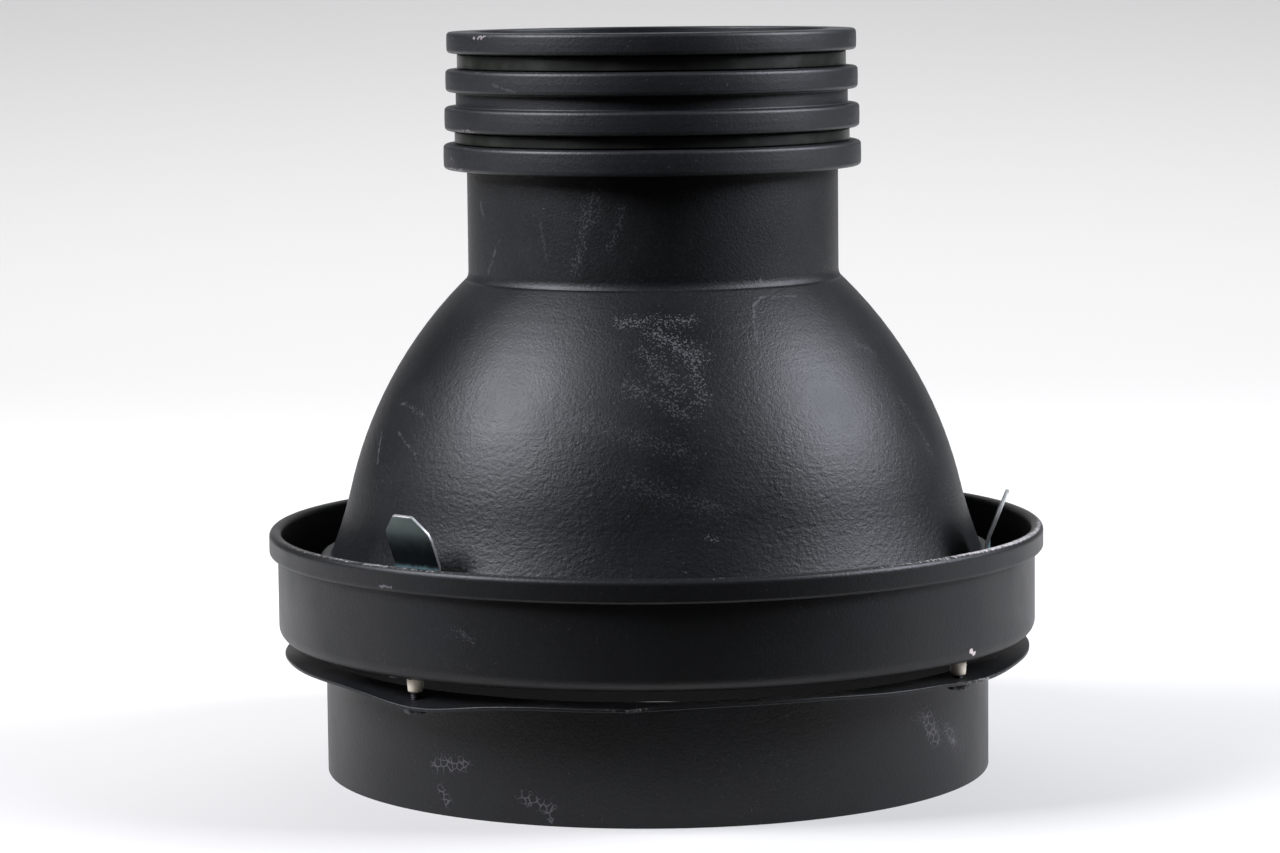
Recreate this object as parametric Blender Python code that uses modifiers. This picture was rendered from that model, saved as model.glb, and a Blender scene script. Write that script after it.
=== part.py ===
"""Snoot for a studio flash head, standing on its mounting tube with the front up.

A spun dome with a neck and a ridged front collar drops into a shallow pan, where three spring
clips grip its skirt. The pan stands a few millimetres above the flange of the mounting tube on
four spacers, so that air can pass. Lengths below are in millimetres and become metres in MM.

Azimuth is measured at the axis: 0 looks along -Y, the front, and it grows towards +X.
"""
import math

import bmesh
import bpy
from mathutils import Matrix, Vector

MM = 0.001
GAP = 0.3               # clearance between pieces that touch on the real object
SEGMENTS = 56           # facets round every large turned piece
SMALL_SEGMENTS = 12     # facets round pins, screws and holes
BEND_STEP = math.radians(45.0)
SMALL_BEND = 1.0        # a bend up to this radius is a single chamfer
OVERCUT = 2.0           # how far a drill runs past both faces of a sheet

# Mounting tube, with its thin flange
TUBE_OUTER = 79.5
TUBE_SHEET = 0.8
FLANGE_OUTER = 89.3
FLANGE_TOP = 28.8
FLANGE_ROOT = 80.5      # the flange is flat inside this radius
TUBE_BEND_INNER = 0.8
TUBE_BEND_OUTER = TUBE_BEND_INNER + TUBE_SHEET
# Each bend of the flange's edge: azimuth, half-width in degrees, rise in mm
FLANGE_BENDS = ((-37.5, 7.0, -2.7), (19.0, 11.0, 1.0), (57.0, 8.0, -0.8))

# Pan
PAN_UNDERSIDE = 32.4
PAN_SHEET = 0.9
PAN_OUTER = 90.6
PAN_FLOOR_INNER = 74.5
PAN_CORNER = 3.0
CURL_TOP = 58.2
CURL_BOTTOM = 52.4
CURL_OUTER = 92.6
CURL_FOOT_BEND = 1.2
PAN_FLOOR = PAN_UNDERSIDE + PAN_SHEET
PAN_INNER = PAN_OUTER - PAN_SHEET

# Dome: an arc from the neck, a flare, a shoulder, and a straight skirt
DOME_SHEET = 1.0
DOME_ARC_CENTRE = (-25.7, 44.4)
DOME_ARC_RADIUS = 101.3
DOME_FLARE_START = 68.0
DOME_FLARE_END = 53.6
DOME_FLARE_SLOPE = 0.24
DOME_FLARE_CURVE = 0.005
SHOULDER_HEIGHT = 51.9
SHOULDER_STEP = 0.5     # from the flare's foot out to the shoulder's bend
SHOULDER_BEND = 1.0
SKIRT_BEND = 1.1
DOME_ARC_STEPS = 7
DOME_FLARE_STEPS = 2
SKIRT_OUTER = 80.6

# Neck
NECK_OUTER = 44.1
NECK_SHEET = 1.2
NECK_BOTTOM = 110.0
NECK_TOP = 173.5

# Front collar
COLLAR_TOP = 175.8
COLLAR_LIP = 2.0
COLLAR_MOUTH = 42.0
RIDGE_COUNT = 4
RIDGE_PITCH = 8.8
RIDGE_OUTER = 48.55
RIDGE_TAPER = 0.35      # each ridge is this much larger in radius than the one in front
RIDGE_HEIGHT = 5.0
RIDGE_GROWTH = 0.3      # and this much taller
RIDGE_ROUND = 0.9
GROOVE_FLOORS = (45.3, 46.5, 46.1)
BAND_GROOVES = (0, 2)
BAND_THICKNESS = 0.5
BAND_SIDE_GAP = 0.35

# Spacer stacks: two pairs, each pair spread evenly about one diameter
STACK_RADIUS = 85.4
STACK_DIAMETER_AZIMUTH = 6.75
STACK_SPREAD = 46.65
SHANK_RADIUS = 1.1
HOLE_RADIUS = SHANK_RADIUS + GAP
SPACER_TOP_RADIUS = 1.9
SPACER_FOOT_RADIUS = 1.65
SPACER_LENGTH = 3.0
SPACER_SHOULDER = 0.8   # the straight part under the pan, before the taper
SPACER_SHOULDER_BEND = 0.6
SPACER_FOOT_CHAMFER = 0.25
HEAD_RADIUS = 2.2
HEAD_HEIGHT = 1.5
HEAD_CHAMFER = 0.8
SCREW_TIP = 0.3         # how far the shank stands out under the nut
SCREW_TIP_CHAMFER = 0.2
NUT_ACROSS_FLATS = 4.5
NUT_HEIGHT = 1.2

# Spring clips: azimuth, turn on its rivet, outward shift, and the side its foot is on
CLIPS = ((-41.6, 0.0, 0.0, -1), (68.0, 15.0, 1.6, 1), (193.0, 0.0, 0.0, -1))
CLIP_WIDTH = 14.0
CLIP_TIP_WIDTH = 5.7
CLIP_SHEET = 0.8
CLIP_NOSE_RADIUS = 81.4
CLIP_CHAMFER_HEIGHT = 4.2
CLIP_HINGE = (0.7, 34.4)
# The blade's centre line: outward from the nose, height, bend radius
BLADE_PATH = ((0.7, 34.0, 0.0), (2.2, 50.3, 2.0), (0.0, 54.0, 1.4), (0.0, 57.3, 2.0), (4.6, 68.8, 0.0))
FOOT_INNER = 1.4
FOOT_OUTER = 5.2
FOOT_NEAR = 1.0
FOOT_FAR = 7.0
RIVET_RADIUS = 0.9
RIVET_HEAD_RADIUS = 1.7
RIVET_HEAD_HEIGHT = 0.9
RIVET_HEAD_CHAMFER = 0.6
RIVET_TAIL_HEIGHT = 0.6


def clear_scene():
    for obj in list(bpy.data.objects):
        bpy.data.objects.remove(obj, do_unlink=True)


def new_collection(name):
    collection = bpy.data.collections.new(name)
    bpy.context.scene.collection.children.link(collection)
    return collection


def make_material(name, colour, roughness, metallic):
    material = bpy.data.materials.new(name)
    material.use_nodes = True
    shader = material.node_tree.nodes["Principled BSDF"]
    shader.inputs["Base Color"].default_value = (*colour, 1.0)
    shader.inputs["Roughness"].default_value = roughness
    shader.inputs["Metallic"].default_value = metallic
    return material


def around(azimuth, radius, height=0.0):
    """A point at an azimuth in degrees, a radius and a height."""
    angle = math.radians(azimuth)
    return Vector((radius * math.sin(angle), -radius * math.cos(angle), height))


def rounded(points, closed=True):
    """The outline through (x, z, bend radius) points, with each bend an arc of that radius."""
    outline = []
    count = len(points)
    for index, (x, z, radius) in enumerate(points):
        corner = Vector((x, z))
        at_end = not closed and index in (0, count - 1)
        if radius <= 0.0 or at_end:
            outline.append(corner)
            continue
        before = (Vector(points[index - 1][:2]) - corner).normalized()
        after = (Vector(points[(index + 1) % count][:2]) - corner).normalized()
        half = before.angle(after) / 2.0
        centre = corner + (before + after).normalized() * radius / math.sin(half)
        start = corner + before * radius / math.tan(half) - centre
        turn = start.angle_signed(corner + after * radius / math.tan(half) - centre)
        steps = 1 if radius <= SMALL_BEND else max(1, math.ceil(abs(turn) / BEND_STEP - 0.01))
        for step in range(steps + 1):
            outline.append(centre + Matrix.Rotation(-turn * step / steps, 2) @ start)
    return outline


def inner_side(outline, thickness):
    """The same open outline moved to its right by a sheet's thickness, with mitred bends."""
    moved = []
    for index, point in enumerate(outline):
        before = point - outline[index - 1] if index else outline[1] - point
        after = outline[index + 1] - point if index < len(outline) - 1 else before
        normals = [Vector((way.y, -way.x)).normalized() for way in (before, after)]
        middle = (normals[0] + normals[1]).normalized()
        moved.append(point + middle * thickness / middle.dot(normals[0]))
    return moved


def make_object(name, mesh, material, collection):
    obj = bpy.data.objects.new(name, mesh)
    mesh.materials.append(material)
    collection.objects.link(obj)
    return obj


def turned(name, outline, material, collection, closed=True, segments=SEGMENTS):
    """A profile in the XZ plane carried round Z by a Screw modifier."""
    mesh = bpy.data.meshes.new(name)
    vertices = [(point[0] * MM, 0.0, point[1] * MM) for point in outline]
    edges = [(index, index + 1) for index in range(len(vertices) - 1)]
    if closed:
        edges.append((len(vertices) - 1, 0))
    mesh.from_pydata(vertices, edges, [])
    obj = make_object(name, mesh, material, collection)
    screw = obj.modifiers.new("turn", "SCREW")
    screw.steps = segments
    screw.render_steps = segments
    screw.use_merge_vertices = True
    screw.merge_threshold = 0.00001
    screw.use_smooth_shade = True
    return obj


def freeze(obj):
    """Make the evaluated shape the object's own mesh."""
    evaluated = obj.evaluated_get(bpy.context.evaluated_depsgraph_get())
    mesh = bpy.data.meshes.new_from_object(evaluated)
    obj.modifiers.clear()
    obj.data = mesh


def cylinder(name, radius, bottom, top, collection, segments=SMALL_SEGMENTS):
    """An upright cylinder about the object's own origin."""
    mesh = bpy.data.meshes.new(name)
    shape = bmesh.new()
    middle = Matrix.Translation((0.0, 0.0, (bottom + top) / 2.0 * MM))
    bmesh.ops.create_cone(shape, cap_ends=True, segments=segments, radius1=radius * MM,
                          radius2=radius * MM, depth=(top - bottom) * MM, matrix=middle)
    shape.to_mesh(mesh)
    shape.free()
    obj = bpy.data.objects.new(name, mesh)
    collection.objects.link(obj)
    return obj


def cut(obj, cutter):
    cutter.hide_render = True
    cutter.display_type = "WIRE"
    boolean = obj.modifiers.new("cut", "BOOLEAN")
    boolean.operation = "DIFFERENCE"
    boolean.solver = "EXACT"
    boolean.object = cutter


def drill(obj, point, radius, bottom, top, cutters):
    """A round upright hole through a piece at a point."""
    cutter = cylinder(obj.name + "_hole", radius, bottom, top, cutters)
    cutter.location = (point.x * MM, point.y * MM, 0.0)
    cut(obj, cutter)


def flange_rise(azimuth, radius):
    """How far the flange is bent up at a place, in mm. The bend grows evenly outward."""
    reach = max(0.0, (radius - FLANGE_ROOT) / (FLANGE_OUTER - FLANGE_ROOT))
    rise = 0.0
    for centre, width, height in FLANGE_BENDS:
        away = (azimuth - centre + 180.0) % 360.0 - 180.0
        rise += height * math.exp(-0.5 * (away / width) ** 2)
    return rise * reach


def stack_azimuths():
    """Azimuths of the four spacers: front left, front right, rear right, rear left."""
    front = STACK_DIAMETER_AZIMUTH
    rear = front + 180.0
    return (front - STACK_SPREAD, front + STACK_SPREAD, rear - STACK_SPREAD, rear + STACK_SPREAD)


def clip_frame(clip):
    """Local frame of a clip: X outward from its nose, Y along its width, Z up."""
    azimuth, turn, shift, _ = clip
    nose = around(azimuth, CLIP_NOSE_RADIUS + shift)
    outward = math.radians(azimuth - 90.0 + turn)
    return Matrix.Translation(nose * MM) @ Matrix.Rotation(outward, 4, "Z")


def rivet_point(clip):
    """Where a clip's rivet goes through the pan's floor."""
    side = clip[3]
    local = Vector(((FOOT_INNER + FOOT_OUTER) / 2.0, side * (FOOT_NEAR + FOOT_FAR) / 2.0, 0.0))
    return clip_frame(clip) @ (local * MM) / MM


def make_mounting_tube(parts, cutters, paint):
    """The sheet tube that fits the flash head, with its thin flange bent in places."""
    underside = FLANGE_TOP - TUBE_SHEET
    inner = TUBE_OUTER - TUBE_SHEET
    outline = rounded((
        (FLANGE_OUTER, FLANGE_TOP, 0.0), (FLANGE_OUTER, underside, 0.0),
        (FLANGE_ROOT, underside, 0.0), (TUBE_OUTER, underside, TUBE_BEND_INNER),
        (TUBE_OUTER, 0.0, 0.0), (inner, 0.0, 0.0),
        (inner, FLANGE_TOP, TUBE_BEND_OUTER), (FLANGE_ROOT + 0.2, FLANGE_TOP, 0.0),
    ))
    tube = turned("mounting_tube", outline, paint, parts)
    freeze(tube)
    for vertex in tube.data.vertices:
        x, y, _ = vertex.co / MM
        vertex.co.z += flange_rise(math.degrees(math.atan2(x, -y)), math.hypot(x, y)) * MM
    lowest = underside + min(rise for _, _, rise in FLANGE_BENDS)
    for azimuth in stack_azimuths():
        drill(tube, around(azimuth, STACK_RADIUS), HOLE_RADIUS, lowest - OVERCUT, FLANGE_TOP + OVERCUT, cutters)
    return tube


def make_pan(parts, cutters, paint):
    """The pan: a floor ring, a rounded corner, a wall, and a rim curled outward."""
    curl = (CURL_OUTER - PAN_INNER) / 2.0 - 0.01
    outline = rounded((
        (CURL_OUTER, CURL_TOP, curl), (CURL_OUTER, CURL_BOTTOM, CURL_FOOT_BEND), (PAN_OUTER, CURL_BOTTOM, 0.0),
        (PAN_OUTER, PAN_UNDERSIDE, PAN_CORNER), (PAN_FLOOR_INNER, PAN_UNDERSIDE, 0.0),
        (PAN_FLOOR_INNER, PAN_FLOOR, 0.0), (PAN_INNER, PAN_FLOOR, PAN_CORNER - PAN_SHEET),
        (PAN_INNER, CURL_TOP, curl),
    ))
    pan = turned("clip_pan", outline, paint, parts)
    bottom, top = PAN_UNDERSIDE - OVERCUT, PAN_FLOOR + OVERCUT
    for azimuth in stack_azimuths():
        drill(pan, around(azimuth, STACK_RADIUS), HOLE_RADIUS, bottom, top, cutters)
    for clip in CLIPS:
        drill(pan, rivet_point(clip), RIVET_RADIUS + GAP, bottom, top, cutters)
    return pan


def dome_outline():
    """The dome's outer side from the neck down to the skirt's edge."""
    centre_r, centre_z = DOME_ARC_CENTRE
    opening = NECK_OUTER + GAP
    first = math.acos((opening - centre_r) / DOME_ARC_RADIUS)
    last = math.asin((DOME_FLARE_START - centre_z) / DOME_ARC_RADIUS)
    points = []
    for step in range(DOME_ARC_STEPS + 1):
        angle = first + (last - first) * step / DOME_ARC_STEPS
        points.append((centre_r + DOME_ARC_RADIUS * math.cos(angle),
                       centre_z + DOME_ARC_RADIUS * math.sin(angle), 0.0))
    arc_end = points[-1][0]
    for step in range(1, DOME_FLARE_STEPS + 1):
        drop = (DOME_FLARE_START - DOME_FLARE_END) * step / DOME_FLARE_STEPS
        radius = arc_end + DOME_FLARE_SLOPE * drop + DOME_FLARE_CURVE * drop * drop
        points.append((radius, DOME_FLARE_START - drop, 0.0))
    points.append((points[-1][0] + SHOULDER_STEP, SHOULDER_HEIGHT, SHOULDER_BEND))
    points.append((SKIRT_OUTER, SHOULDER_HEIGHT, SKIRT_BEND))
    points.append((SKIRT_OUTER, PAN_FLOOR + GAP, 0.0))
    return rounded(points, closed=False)


def make_dome(parts, paint):
    """The spun dome: one sheet, whose opening is cut upright to clear the neck."""
    outer = dome_outline()
    inner = inner_side(outer, DOME_SHEET)
    along = inner[1] - inner[0]
    inner[0] = inner[0] + along * (outer[0].x - inner[0].x) / along.x
    return turned("dome_shell", outer + inner[::-1], paint, parts)


def make_neck(parts, paint):
    """The neck tube, which passes down through the dome's opening."""
    inner = NECK_OUTER - NECK_SHEET
    outline = ((NECK_OUTER, NECK_TOP), (NECK_OUTER, NECK_BOTTOM), (inner, NECK_BOTTOM), (inner, NECK_TOP))
    return turned("neck_tube", outline, paint, parts)


def ridge_top(index):
    return COLLAR_TOP - index * RIDGE_PITCH


def ridge_bottom(index):
    return ridge_top(index) - RIDGE_HEIGHT - index * RIDGE_GROWTH


def make_collar(parts, paint):
    """The front collar: four rounded ridges, a bore for the neck, and a lip over its end."""
    points = []
    for index in range(RIDGE_COUNT):
        outer = RIDGE_OUTER + index * RIDGE_TAPER
        points.append((outer, ridge_top(index), RIDGE_ROUND))
        points.append((outer, ridge_bottom(index), RIDGE_ROUND))
        if index < RIDGE_COUNT - 1:
            points.append((GROOVE_FLOORS[index], ridge_bottom(index), 0.0))
            points.append((GROOVE_FLOORS[index], ridge_top(index + 1), 0.0))
    bore = NECK_OUTER + GAP
    lip_underside = COLLAR_TOP - COLLAR_LIP
    points.append((bore, ridge_bottom(RIDGE_COUNT - 1), 0.0))
    points.append((bore, lip_underside, 0.0))
    points.append((COLLAR_MOUTH, lip_underside, 0.0))
    points.append((COLLAR_MOUTH, COLLAR_TOP, 0.0))
    return turned("front_collar", rounded(points), paint, parts)


def make_band(name, groove, parts, rubber):
    """A flat band that lies in a groove of the collar."""
    inner = GROOVE_FLOORS[groove] + GAP
    outer = inner + BAND_THICKNESS
    top = ridge_bottom(groove) - BAND_SIDE_GAP
    bottom = ridge_top(groove + 1) + BAND_SIDE_GAP
    outline = ((outer, top), (outer, bottom), (inner, bottom), (inner, top))
    return turned(name, outline, rubber, parts)


def blade_half_width(height):
    """Half the blade's width at a height: full, then narrowed by the tip's chamfers."""
    tip = BLADE_PATH[-1][1]
    above = max(0.0, height - (tip - CLIP_CHAMFER_HEIGHT)) / CLIP_CHAMFER_HEIGHT
    return (CLIP_WIDTH + (CLIP_TIP_WIDTH - CLIP_WIDTH) * above) / 2.0


def blade_stations():
    """Points up the blade's centre line, with one more where the chamfers start."""
    path = rounded(BLADE_PATH, closed=False)
    below, tip = path[-2], path[-1]
    share = 1.0 - CLIP_CHAMFER_HEIGHT / (tip.y - below.y)
    return path[:-1] + [below.lerp(tip, share), tip]


def make_clip(index, clip, parts, zinc):
    """A spring clip's blade, with its origin on the line that it flexes about."""
    stations = blade_stations()
    name = f"spring_clip_{index}"
    mesh = bpy.data.meshes.new(name)
    shape = bmesh.new()
    bmesh.ops.create_grid(shape, x_segments=1, y_segments=len(stations) - 1, size=1.0)
    for vertex in shape.verts:
        station = round((vertex.co.y + 1.0) / 2.0 * (len(stations) - 1))
        outward, height = stations[station]
        across = vertex.co.x * blade_half_width(height)
        vertex.co = Vector((outward - CLIP_HINGE[0], across, height - CLIP_HINGE[1])) * MM
    bmesh.ops.recalc_face_normals(shape, faces=shape.faces)
    shape.to_mesh(mesh)
    shape.free()
    blade = make_object(name, mesh, zinc, parts)
    sheet = blade.modifiers.new("sheet", "SOLIDIFY")
    sheet.thickness = CLIP_SHEET * MM
    sheet.offset = 0.0
    sheet.use_even_offset = True
    hinge = Vector((CLIP_HINGE[0], 0.0, CLIP_HINGE[1])) * MM
    blade.matrix_world = clip_frame(clip) @ Matrix.Translation(hinge)
    return blade


def make_clip_foot(index, clip, parts, cutters, zinc):
    """The clip's foot, flat on the pan's floor under its rivet."""
    name = f"clip_foot_{index}"
    bottom = PAN_FLOOR + GAP
    side = clip[3]
    size = Vector((FOOT_OUTER - FOOT_INNER, FOOT_FAR - FOOT_NEAR, CLIP_SHEET))
    middle = Vector(((FOOT_INNER + FOOT_OUTER) / 2.0, side * (FOOT_NEAR + FOOT_FAR) / 2.0,
                     bottom + CLIP_SHEET / 2.0))
    mesh = bpy.data.meshes.new(name)
    shape = bmesh.new()
    bmesh.ops.create_cube(shape, size=1.0)
    bmesh.ops.scale(shape, vec=size * MM, verts=shape.verts)
    bmesh.ops.translate(shape, vec=middle * MM, verts=shape.verts)
    shape.to_mesh(mesh)
    shape.free()
    foot = make_object(name, mesh, zinc, parts)
    foot.matrix_world = clip_frame(clip)
    hole = cylinder(name + "_hole", RIVET_RADIUS + GAP, bottom - OVERCUT, bottom + CLIP_SHEET + OVERCUT, cutters)
    point = rivet_point(clip) * MM
    hole.location = (point.x, point.y, 0.0)
    cut(foot, hole)
    return foot


def make_rivet(index, clip, parts, zinc):
    """The rivet through a clip's foot and the pan's floor."""
    head_bottom = PAN_FLOOR + CLIP_SHEET + 2.0 * GAP
    tail_top = PAN_UNDERSIDE - GAP
    outline = rounded((
        (0.0, head_bottom + RIVET_HEAD_HEIGHT, 0.0),
        (RIVET_HEAD_RADIUS, head_bottom + RIVET_HEAD_HEIGHT, RIVET_HEAD_CHAMFER),
        (RIVET_HEAD_RADIUS, head_bottom, 0.0), (RIVET_RADIUS, head_bottom, 0.0),
        (RIVET_RADIUS, tail_top, 0.0), (RIVET_HEAD_RADIUS, tail_top, 0.0),
        (RIVET_HEAD_RADIUS, tail_top - RIVET_TAIL_HEIGHT, 0.0), (0.0, tail_top - RIVET_TAIL_HEIGHT, 0.0),
    ), closed=False)
    rivet = turned(f"clip_rivet_{index}", outline, zinc, parts, closed=False, segments=SMALL_SEGMENTS)
    point = rivet_point(clip) * MM
    rivet.location = (point.x, point.y, 0.0)
    return rivet


def make_spacer(index, azimuth, parts, ceramic):
    """A tapered spacer with a rounded nose, hung from the pan's underside."""
    top = PAN_UNDERSIDE - GAP
    bottom = top - SPACER_LENGTH
    outline = rounded((
        (SPACER_TOP_RADIUS, top, 0.0), (SPACER_TOP_RADIUS, top - SPACER_SHOULDER, SPACER_SHOULDER_BEND),
        (SPACER_FOOT_RADIUS, bottom, SPACER_FOOT_CHAMFER), (HOLE_RADIUS, bottom, 0.0), (HOLE_RADIUS, top, 0.0),
    ))
    spacer = turned(f"spacer_{index}", outline, ceramic, parts, segments=SMALL_SEGMENTS)
    spacer.location = around(azimuth, STACK_RADIUS) * MM
    return spacer


def nut_top(azimuth):
    """Highest place for a nut that stays clear of the bent flange all over its top."""
    reach = STACK_RADIUS + NUT_ACROSS_FLATS / math.sqrt(3.0)
    half_turn = math.degrees(NUT_ACROSS_FLATS / math.sqrt(3.0) / STACK_RADIUS)
    rises = [flange_rise(azimuth + turn, radius)
             for turn in (-half_turn, 0.0, half_turn) for radius in (STACK_RADIUS, reach)]
    return FLANGE_TOP - TUBE_SHEET + min(0.0, *rises) - GAP


def make_screw(index, azimuth, parts, zinc):
    """The screw that draws pan, spacer and flange together, head inside the pan."""
    head_bottom = PAN_FLOOR + GAP
    tip = nut_top(azimuth) - NUT_HEIGHT - SCREW_TIP
    outline = rounded((
        (0.0, head_bottom + HEAD_HEIGHT, 0.0), (HEAD_RADIUS, head_bottom + HEAD_HEIGHT, HEAD_CHAMFER),
        (HEAD_RADIUS, head_bottom, 0.0), (SHANK_RADIUS, head_bottom, 0.0),
        (SHANK_RADIUS, tip + SCREW_TIP_CHAMFER, 0.0), (SHANK_RADIUS - SCREW_TIP_CHAMFER, tip, 0.0),
        (0.0, tip, 0.0),
    ), closed=False)
    screw = turned(f"spacer_screw_{index}", outline, zinc, parts, closed=False, segments=SMALL_SEGMENTS)
    screw.location = around(azimuth, STACK_RADIUS) * MM
    return screw


def make_nut(index, azimuth, parts, cutters, zinc):
    """The hexagon nut under the flange."""
    name = f"spacer_nut_{index}"
    top = nut_top(azimuth)
    nut = cylinder(name, NUT_ACROSS_FLATS / math.sqrt(3.0), top - NUT_HEIGHT, top, parts, segments=6)
    nut.data.materials.append(zinc)
    nut.location = around(azimuth, STACK_RADIUS) * MM
    nut.rotation_euler.z = math.radians(azimuth)
    hole = cylinder(name + "_hole", HOLE_RADIUS, top - NUT_HEIGHT - OVERCUT, top + OVERCUT, cutters)
    hole.location = nut.location
    cut(nut, hole)
    return nut


def main():
    clear_scene()
    parts = new_collection("snoot")
    cutters = new_collection("cutters")
    paint = make_material("black textured paint", (0.022, 0.023, 0.025), 0.55, 0.0)
    rubber = make_material("dark rubber", (0.030, 0.033, 0.028), 0.35, 0.0)
    zinc = make_material("zinc plated steel", (0.36, 0.40, 0.40), 0.30, 1.0)
    ceramic = make_material("cream ceramic", (0.72, 0.64, 0.52), 0.45, 0.0)

    make_mounting_tube(parts, cutters, paint)
    make_pan(parts, cutters, paint)
    make_dome(parts, paint)
    make_neck(parts, paint)
    make_collar(parts, paint)
    for name, groove in zip(("collar_band_front", "collar_band_rear"), BAND_GROOVES):
        make_band(name, groove, parts, rubber)
    for index, clip in enumerate(CLIPS, start=1):
        make_clip(index, clip, parts, zinc)
        make_clip_foot(index, clip, parts, cutters, zinc)
        make_rivet(index, clip, parts, zinc)
    for index, azimuth in enumerate(stack_azimuths(), start=1):
        make_spacer(index, azimuth, parts, ceramic)
        make_screw(index, azimuth, parts, zinc)
        make_nut(index, azimuth, parts, cutters, zinc)


main()
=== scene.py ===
"""Looks for the snoot: a black powder-coated light shaper standing on its mounting tube.

Every CAD piece is shown by a finer surface of the same size. Turned pieces are a closed outline of
(radius, height) carried round the axis, bent sheets are a rounded bar carried along a path, and all
wear lies in the finishes. Lengths are in millimetres until MM turns them into metres.

Azimuth is measured at the axis: 0 looks along -Y, the front, and it grows towards +X.
"""

import math

import bmesh
import bpy
import numpy as np
from mathutils import Matrix, Vector


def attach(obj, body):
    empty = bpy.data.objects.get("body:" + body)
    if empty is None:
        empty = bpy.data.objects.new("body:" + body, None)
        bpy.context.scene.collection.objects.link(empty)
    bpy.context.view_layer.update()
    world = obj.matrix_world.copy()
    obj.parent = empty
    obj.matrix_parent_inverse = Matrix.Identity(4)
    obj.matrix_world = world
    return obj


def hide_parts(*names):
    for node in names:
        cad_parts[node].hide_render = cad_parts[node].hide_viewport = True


MM = 0.001
TOUCH = 0.3             # clearance between pieces that touch on the real object
ARC_STEP = math.radians(15.0)
SUPPORT = 0.2           # distance from a bend to the first point on the straight run beside it
FILL = 2.0              # longest straight step on an outline

# Sizes of the pieces
TUBE_OUTER = 79.5
TUBE_SHEET = 0.8
FLANGE_OUTER = 89.3
FLANGE_TOP = 28.8
FLANGE_ROOT = 80.5
FLANGE_BENDS = ((-37.5, 7.0, -2.7), (19.0, 11.0, 1.0), (57.0, 8.0, -0.8))
PAN_UNDERSIDE = 32.4
PAN_FLOOR = 33.3
PAN_OUTER = 90.6
PAN_INNER = 89.7
PAN_FLOOR_INNER = 74.5
CURL_OUTER = 92.6
CURL_TOP = 58.2
CURL_BOTTOM = 52.4
DOME_ARC_CENTRE = (-25.7, 44.4)
DOME_ARC_RADIUS = 101.3
DOME_SHEET = 1.0
FLARE_TOP = 68.0        # where the dome's arc ends and its flare starts
SHOULDER_HEIGHT = 51.9
SKIRT_OUTER = 80.6
SKIRT_BOTTOM = 33.6
NECK_OUTER = 44.1
NECK_SHEET = 1.2
NECK_BOTTOM = 110.0
NECK_TOP = 173.5
CREASE_HEIGHT = 117.75  # where the neck's side meets the dome's
NECK_FILLET = 3.0
NECK_FOOT = 3.0         # how far the neck's foot reaches down the dome's side
COLLAR_TOP = 175.8
COLLAR_LIP = 2.0
COLLAR_MOUTH = 42.0
RIDGE_PITCH = 8.8
# Ridges from the front: outer radius and height
RIDGES = ((48.55, 5.0), (48.9, 5.3), (49.25, 5.6), (49.6, 5.9))
GROOVE_FLOORS = (45.3, 46.5, 46.1)
BAND_THICKNESS = 0.5
BAND_SIDE_GAP = 0.35
STACK_RADIUS = 85.4
STACK_AZIMUTHS = (-39.9, 53.4, 140.1, 233.4)
BEAD_LENGTH = 3.0
SHANK_RADIUS = 1.1
SCREW_HEAD = 1.5
THREAD_PITCH = 0.45
THREAD_DEPTH = 0.09
NUT_FLATS = 4.5
NUT_HEIGHT = 1.2
SCREW_TIP = 0.3         # how far the shank stands out under the nut
# Clips: name, azimuth, turn on the rivet, outward shift, side its foot is on
CLIPS = (("left", -41.6, 0.0, 0.0, -1), ("right", 68.0, 15.0, 1.6, 1), ("rear", 193.0, 0.0, 0.0, -1))
NOSE_RADIUS = 81.4
CLIP_SHEET = 0.8
CLIP_EDGE = 0.12        # rounding of the sheet's edges
# The blade's centre line: outward from the nose, height, bend radius
BLADE_PATH = ((0.7, 34.0, 0.0), (2.2, 50.3, 2.4), (0.0, 54.0, 1.6), (0.0, 57.3, 2.4), (4.6, 68.8, 0.0))
BLADE_HALF_WIDTH = 7.0
TIP_NARROWING = 4.15    # taken off the half-width by the sheared corners
TIP_CORNER = 4.2        # height of those corners
FOOT_INNER = 1.4
FOOT_OUTER = 5.2
FOOT_HALF_WIDTH = 3.0
FOOT_ROUND = 0.7
FOOT_ASIDE = 4.0        # from the blade's middle to the foot's, along the width

# Paper sweep, in metres along Y: its front edge, and where the floor bends up
PAPER_FRONT = -0.125
PAPER_BEND = 0.9
# Glow of the paper, as a share of white
FLOOR_FRONT = 0.27
FLOOR_BACK = 0.6
WALL_TOP = 0.3
# Camera: lens in mm, place in metres, tip down in radians, roll in degrees
CAMERA_LENS = 115.8
CAMERA_PLACE = (-0.0036, -0.98, 0.192)
CAMERA_TIP = 0.1126
CAMERA_ROLL = -0.6


# ---------------------------------------------------------------- shapes

def around(azimuth, radius, height=0.0):
    """A point at an azimuth in degrees, a radius and a height."""
    angle = math.radians(azimuth)
    return np.array((radius * math.sin(angle), -radius * math.cos(angle), height))


def unit(vector):
    """The vector scaled to length 1."""
    return vector / np.linalg.norm(vector)


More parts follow.
